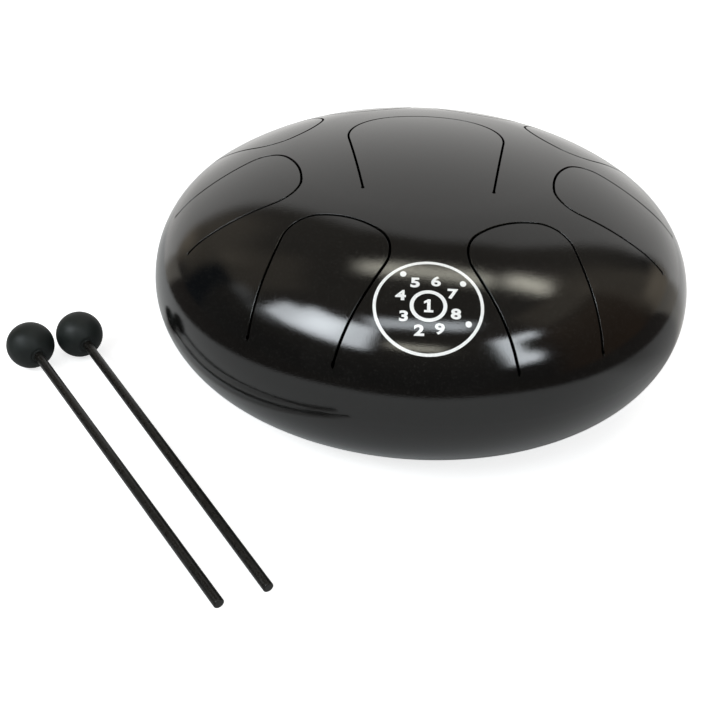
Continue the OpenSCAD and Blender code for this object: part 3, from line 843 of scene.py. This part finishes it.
def dot(radius, middle):
    bm = bmesh.new()
    bmesh.ops.create_circle(bm, cap_ends=True, segments=20, radius=radius, matrix=Matrix.Translation((*middle, 0.0)))
    return bm


def make_chart(ink):
    rings = printed("chart_outer_ring", oval_ring(CHART_W, CHART_LINE), ink)
    printed("chart_inner_ring", oval_ring(INNER_RING_W, INNER_LINE), ink)
    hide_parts("note_chart")
    printed("numeral_1", numeral_one(ONE_H), ink)
    for number, place in enumerate(NUMERAL_PLACES, 2):
        printed("numeral_%d" % number, glyph(str(number), NUMERAL_H, place), ink)
    for number, place in enumerate(DOT_PLACES, 1):
        printed("chart_dot_%d" % number, dot(DOT_R, place), ink)


# ---------------------------------------------------------------- mallets

def along_stick(profile, steps):
    """Spins a profile of (distance along the stick, radius) round the X axis."""
    bm = bmesh.new()
    verts = [bm.verts.new((s, 0.0, r)) for s, r in profile]
    edges = [bm.edges.new((a, b)) for a, b in zip(verts, verts[1:])]
    bmesh.ops.spin(bm, geom=verts + edges, cent=(0.0, 0.0, 0.0), axis=(1.0, 0.0, 0.0), angle=math.tau, steps=steps,
                   use_merge=True)
    on_axis = [v for v in bm.verts if math.hypot(v.co.y, v.co.z) < 2 * TOUCH]
    bmesh.ops.remove_doubles(bm, verts=on_axis, dist=AXIS_MERGE)
    return bm


def lay_down(bm, x, y, turn):
    place = Matrix.Translation((x, y, HEAD_R)) @ Matrix.Rotation(math.radians(turn), 4, "Z") \
        @ Matrix.Rotation(STICK_DROP, 4, "Y")
    bmesh.ops.transform(bm, matrix=place, verts=bm.verts[:])


def head_profile():
    ball = [(-HEAD_R * math.cos(a), HEAD_R * math.sin(a))
            for a in ((math.pi - BALL_END) * i / BALL_STEPS for i in range(BALL_STEPS + 1))]
    return ball + list(HEAD_MOUTH)


def stick_profile():
    end = STICK_REACH - STICK_ROUND
    points = [(-STICK_IN, 0.0), (-STICK_IN, STICK_R)]
    points += [(STICK_REACH * i / 12, STICK_R) for i in range(1, 12)]
    points += [(end + STICK_ROUND * math.sin(a), STICK_R - STICK_ROUND + STICK_ROUND * math.cos(a))
               for a in (math.pi / 2 * i / 6 for i in range(7))]
    points += [(STICK_REACH, 0.0)]
    return points


def make_mallets(rubber, plastic):
    for side, x, y, turn in MALLETS:
        ball = along_stick(head_profile(), BALL_TURN_STEPS)
        lay_down(ball, x, y, turn)
        ball = finished("mallet_%s_ball" % side, ball, rubber, sharp=50.0)
        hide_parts("mallet_%s_head" % side)
        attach(ball, "mallet_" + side)
        rod = along_stick(stick_profile(), STICK_TURN_STEPS)
        lay_down(rod, x, y, turn)
        rod = finished("mallet_%s_rod" % side, rod, plastic, sharp=50.0)
        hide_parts("mallet_%s_stick" % side)
        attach(rod, "mallet_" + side)


# ---------------------------------------------------------------- studio

def compass(azimuth, elevation):
    """A direction from the drum: azimuth 0 is towards the player, 90 to the right."""
    a, e = math.radians(azimuth), math.radians(elevation)
    return Vector((math.cos(e) * math.sin(a), -math.cos(e) * math.cos(a), math.sin(e)))


def add_lamp(name, azimuth, elevation, wide, tall, radiance, colour, roll):
    """A soft panel seen from the drum at a direction, wide and tall in degrees. The gloss sees the room instead."""
    data = bpy.data.lights.new(name, "AREA")
    data.shape = "RECTANGLE"
    data.size = 2 * LAMP_REACH * math.tan(math.radians(wide) / 2)
    data.size_y = 2 * LAMP_REACH * math.tan(math.radians(tall) / 2)
    data.energy = radiance * math.pi * data.size * data.size_y
    data.color = colour
    lamp = bpy.data.objects.new(name, data)
    lamp.visible_glossy = False
    bpy.context.collection.objects.link(lamp)
    way = compass(azimuth, elevation)
    turn = way.to_track_quat("Z", "Y").to_matrix() @ Matrix.Rotation(math.radians(roll), 3, "Z")
    lamp.matrix_world = Matrix.Translation(LAMP_AIM + way * LAMP_REACH) @ turn.to_4x4()


def light_world():
    world = bpy.data.worlds.new("studio_air")
    bpy.context.scene.world = world
    world.use_nodes = True
    world.node_tree.nodes.clear()
    finish = Finish(world.node_tree)
    path = finish.add("LightPath").outputs
    seen = finish.maths("MAXIMUM", path["Is Camera Ray"],
                        finish.maths("MAXIMUM", path["Is Glossy Ray"], path["Is Transmission Ray"]))
    strength = finish.maths("MULTIPLY_ADD", seen, 1 - AIR_LIGHT, AIR_LIGHT)
    back = finish.add("Background", Color=shade((1.0, 1.0, 1.0)), Strength=strength)
    end = finish.add("OutputWorld")
    finish.tree.links.new(back.outputs["Background"], end.inputs["Surface"])


def stage_sheet(name, bm, material):
    mesh = bpy.data.meshes.new(name)
    bm.to_mesh(mesh)
    bm.free()
    mesh.materials.append(material)
    sheet = bpy.data.objects.new(name, mesh)
    bpy.context.collection.objects.link(sheet)
    return sheet


def open_behind(finish, x, y, z):
    """1 where the white sweep stands or lies behind the drum, between its left and its right end."""
    left_edge = finish.maths("MULTIPLY", y, finish.maths("MULTIPLY_ADD", z, *SWEEP_LEFT))
    right_edge = finish.maths("MULTIPLY", y, finish.maths("MULTIPLY_ADD", z, *SWEEP_RIGHT))
    left = finish.ramp(finish.maths("ADD", x, left_edge), -0.06, 0.06)
    right = finish.ramp(finish.maths("SUBTRACT", x, right_edge), -0.07, 0.03, 1.0, 0.0)
    return finish.maths("MULTIPLY", left, right)


def make_floor():
    """A white floor; gloss sees it only near the drum and behind it, as it would see a roll of paper."""
    material, finish = new_finish("white_sweep")
    place = finish.add("TexCoord").outputs["Object"]
    tone = finish.add("TexNoise", Vector=place, Scale=3.0, Detail=2.0).outputs["Fac"]
    paper = finish.add("BsdfDiffuse", Color=finish.blend(tone, shade((0.80, 0.80, 0.80)), shade((0.82, 0.82, 0.82))))
    path = finish.add("LightPath").outputs
    axes = finish.add("SeparateXYZ", Vector=place).outputs
    x, y = axes["X"], axes["Y"]
    aside = finish.maths("DIVIDE", finish.maths("SUBTRACT", x, PAPER_MID), PAPER_SIDE)
    ahead = finish.maths("DIVIDE", y, PAPER_FRONT)
    far = finish.maths("ADD", finish.maths("POWER", finish.maths("ABSOLUTE", aside), 4.0),
                       finish.maths("POWER", finish.maths("ABSOLUTE", ahead), 4.0))
    length = finish.maths("SQRT", finish.maths("ADD", finish.maths("POWER", x, 2.0), finish.maths("POWER", y, 2.0)))
    # What the camera sees in addition: nothing under the drum, and more with distance
    lift = finish.maths("MULTIPLY", finish.ramp(length, 0.05, 0.105), finish.ramp(length, 0.25, 1.2, 0.70, 0.92))
    glow = finish.add("Emission", Color=shade((1.0, 1.0, 1.0)),
                      Strength=finish.maths("MULTIPLY", path["Is Camera Ray"], lift))
    both = finish.add("AddShader")
    finish.tree.links.new(paper.outputs[0], both.inputs[0])
    finish.tree.links.new(glow.outputs[0], both.inputs[1])
    past_left, past_right = finish.maths("ADD", x, DRUM_R * MM), finish.maths("SUBTRACT", x, DRUM_R * MM)

    def wedge(left_slope, right_slope):
        left = finish.ramp(finish.maths("MULTIPLY_ADD", y, left_slope, past_left), -0.05, 0.05)
        right = finish.ramp(finish.maths("MULTIPLY_ADD", y, -right_slope, past_right), -0.05, 0.05, 1.0, 0.0)
        return finish.maths("MULTIPLY", left, right)

    # Beyond the paper, gloss sees painted light: white behind the drum, and to the sides a painted floor, half lit or
    # dim
    behind = wedge(OPEN_LEFT, OPEN_RIGHT)
    half_lit = finish.blend(wedge(DIM_LEFT, DIM_RIGHT), shade((0.075, 0.065, 0.06)), shade((0.48, 0.45, 0.40)))
    beyond = finish.add("Emission", Color=finish.blend(behind, half_lit, shade((1.02, 1.01, 0.99))))
    # A painted shadow: towards the drum's right and back, gloss sees up to half of the painted colours beyond the
    # paper instead of the lit floor
    shadow = finish.ramp(finish.maths("MULTIPLY_ADD", x, 0.6, y), 0.01, 0.12, 0.0, 0.5)
    outside = finish.maths("MAXIMUM", finish.ramp(far, 0.85, 1.15), shadow)
    mixed = finish.add("MixShader", i_0=finish.maths("MULTIPLY", path["Is Glossy Ray"], outside))
    finish.tree.links.new(both.outputs[0], mixed.inputs[1])
    finish.tree.links.new(beyond.outputs[0], mixed.inputs[2])
    end = finish.add("OutputMaterial")
    finish.tree.links.new(mixed.outputs[0], end.inputs["Surface"])
    bm = bmesh.new()
    bmesh.ops.create_grid(bm, x_segments=8, y_segments=8, size=FLOOR_HALF)
    stage_sheet("studio_floor", bm, material)


def soft_patch(finish, across, up, middle, half, slope, edge):
    """A mask of a slanted patch with soft edges, in two coordinates of the view round the drum."""
    aside = finish.maths("SUBTRACT", across, middle[0])
    rise = finish.maths("SUBTRACT", finish.maths("SUBTRACT", up, middle[1]), finish.maths("MULTIPLY", aside, slope))
    wide = finish.ramp(finish.maths("ABSOLUTE", aside), half[0] - edge[0], half[0] + edge[0], 1.0, 0.0)
    tall = finish.ramp(finish.maths("ABSOLUTE", rise), half[1] - edge[1], half[1] + edge[1], 1.0, 0.0)
    return finish.maths("MULTIPLY", wide, tall)


def add_glow(finish, total, mask, colour, radiance):
    lit = finish.add("VectorMath", {"operation": "SCALE"}, i_0=tuple(radiance * c for c in colour), Scale=mask)
    return finish.add("VectorMath", {"operation": "ADD"}, i_0=total, i_1=lit.outputs["Vector"]).outputs["Vector"]


def make_dim_room():
    """A far screen that only gloss sees: windows, lamps and dim walls, and the white sweep behind the drum."""
    material, finish = new_finish("dim_room")
    place = finish.add("TexCoord").outputs["Object"]
    way = finish.add("VectorMath", {"operation": "NORMALIZE"}, i_0=place).outputs["Vector"]
    axes = finish.add("SeparateXYZ", Vector=way).outputs
    x, y, z = axes["X"], axes["Y"], axes["Z"]
    turn = finish.maths("DEGREES", finish.maths("ARCTAN2", x, finish.maths("MULTIPLY", y, -1.0)))
    rise = finish.maths("DEGREES", finish.maths("ARCSINE", z))
    over = finish.maths("MAXIMUM", z, 0.05)
    right, back = finish.maths("DIVIDE", x, over), finish.maths("DIVIDE", y, over)
    drift = finish.add("TexNoise", Vector=way, Scale=2.4, Detail=3.0).outputs["Fac"]
    dim = finish.blend(drift, shade((0.02, 0.019, 0.019)), shade((0.10, 0.095, 0.092)))
    total = finish.blend(finish.ramp(rise, 8.0, 48.0), dim, shade((0.205, 0.185, 0.16)))
    for patch in ROOM_GLOWS:
        mask = soft_patch(finish, turn, rise, *patch[:4])
        total = add_glow(finish, total, mask, *patch[4:])
    for patch in CEILING_GLOWS:
        mask = soft_patch(finish, right, back, *patch[:4])
        total = add_glow(finish, total, mask, *patch[4:])
    total = finish.blend(soft_patch(finish, turn, rise, *DARK_DOOR), total, shade((0.005, 0.014, 0.028)))
    left_hem, right_hem = (
        finish.maths("MAXIMUM", finish.maths("MULTIPLY_ADD", x, aside, finish.maths("MULTIPLY", z, up)), 0.0)
        for aside, up in (HEM_LEFT, HEM_RIGHT))
    hem = finish.maths("MULTIPLY_ADD", z, HEM_RISE, finish.maths("ADD", left_hem, right_hem))
    below = finish.ramp(finish.maths("SUBTRACT", y, hem), -0.03, 0.04)
    sweep = finish.blend(finish.ramp(z, 0.0, 0.9), shade((1.0, 0.99, 0.97)), shade((0.90, 0.89, 0.87)))
    pale = finish.maths("MULTIPLY", open_behind(finish, x, y, z), below)
    glow = finish.add("Emission", Color=finish.blend(pale, total, sweep))
    end = finish.add("OutputMaterial")
    finish.tree.links.new(glow.outputs[0], end.inputs["Surface"])
    bm = bmesh.new()
    bmesh.ops.create_uvsphere(bm, u_segments=64, v_segments=32, radius=ROOM_R)
    bmesh.ops.reverse_faces(bm, faces=bm.faces[:])
    screen = stage_sheet("dim_room", bm, material)
    for ray in ("camera", "diffuse", "transmission", "volume_scatter", "shadow"):
        setattr(screen, "visible_" + ray, False)


# ---------------------------------------------------------------- put together

place_camera()
groups = {"paint": paint_grain_group(), "handling": handling_group(), "rubber": rubber_grain_group()}
paint = gloss_black_paint(groups)
ink = white_print(groups)
head_rubber = moulded_rubber("head_rubber", groups, (0.0068, 0.0084, 0.0078), (0.0112, 0.0132, 0.0124), 0.46, 0.56,
                             1100.0)
edge_rubber = moulded_rubber("edge_rubber", groups, (0.012, 0.012, 0.012), (0.020, 0.020, 0.020), 0.45, 0.6, 1000.0)
foot_rubber = moulded_rubber("foot_rubber", groups, (0.015, 0.015, 0.015), (0.026, 0.026, 0.025), 0.6, 0.75, 800.0)
plastic = satin_black_stick(groups)
steel = zinc_steel(groups)

make_upper_skin(paint)
make_tongue_skins(paint)
make_rim_band(paint)
make_lower_skin(paint)
make_chart(ink)
make_mallets(head_rubber, plastic)

kept = {"sound_hole_trim": edge_rubber, "foot_screws": steel, "foot_washers": steel, "foot_nuts": steel}
for corner in ("front_left", "front_right", "back_left", "back_right"):
    kept["foot_" + corner] = foot_rubber
for node, material in kept.items():
    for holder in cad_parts[node].material_slots:
        holder.material = material

light_world()
make_floor()
make_dim_room()
for lamp in LAMPS:
    add_lamp(*lamp)
bpy.context.scene.view_settings.view_transform = "Standard"
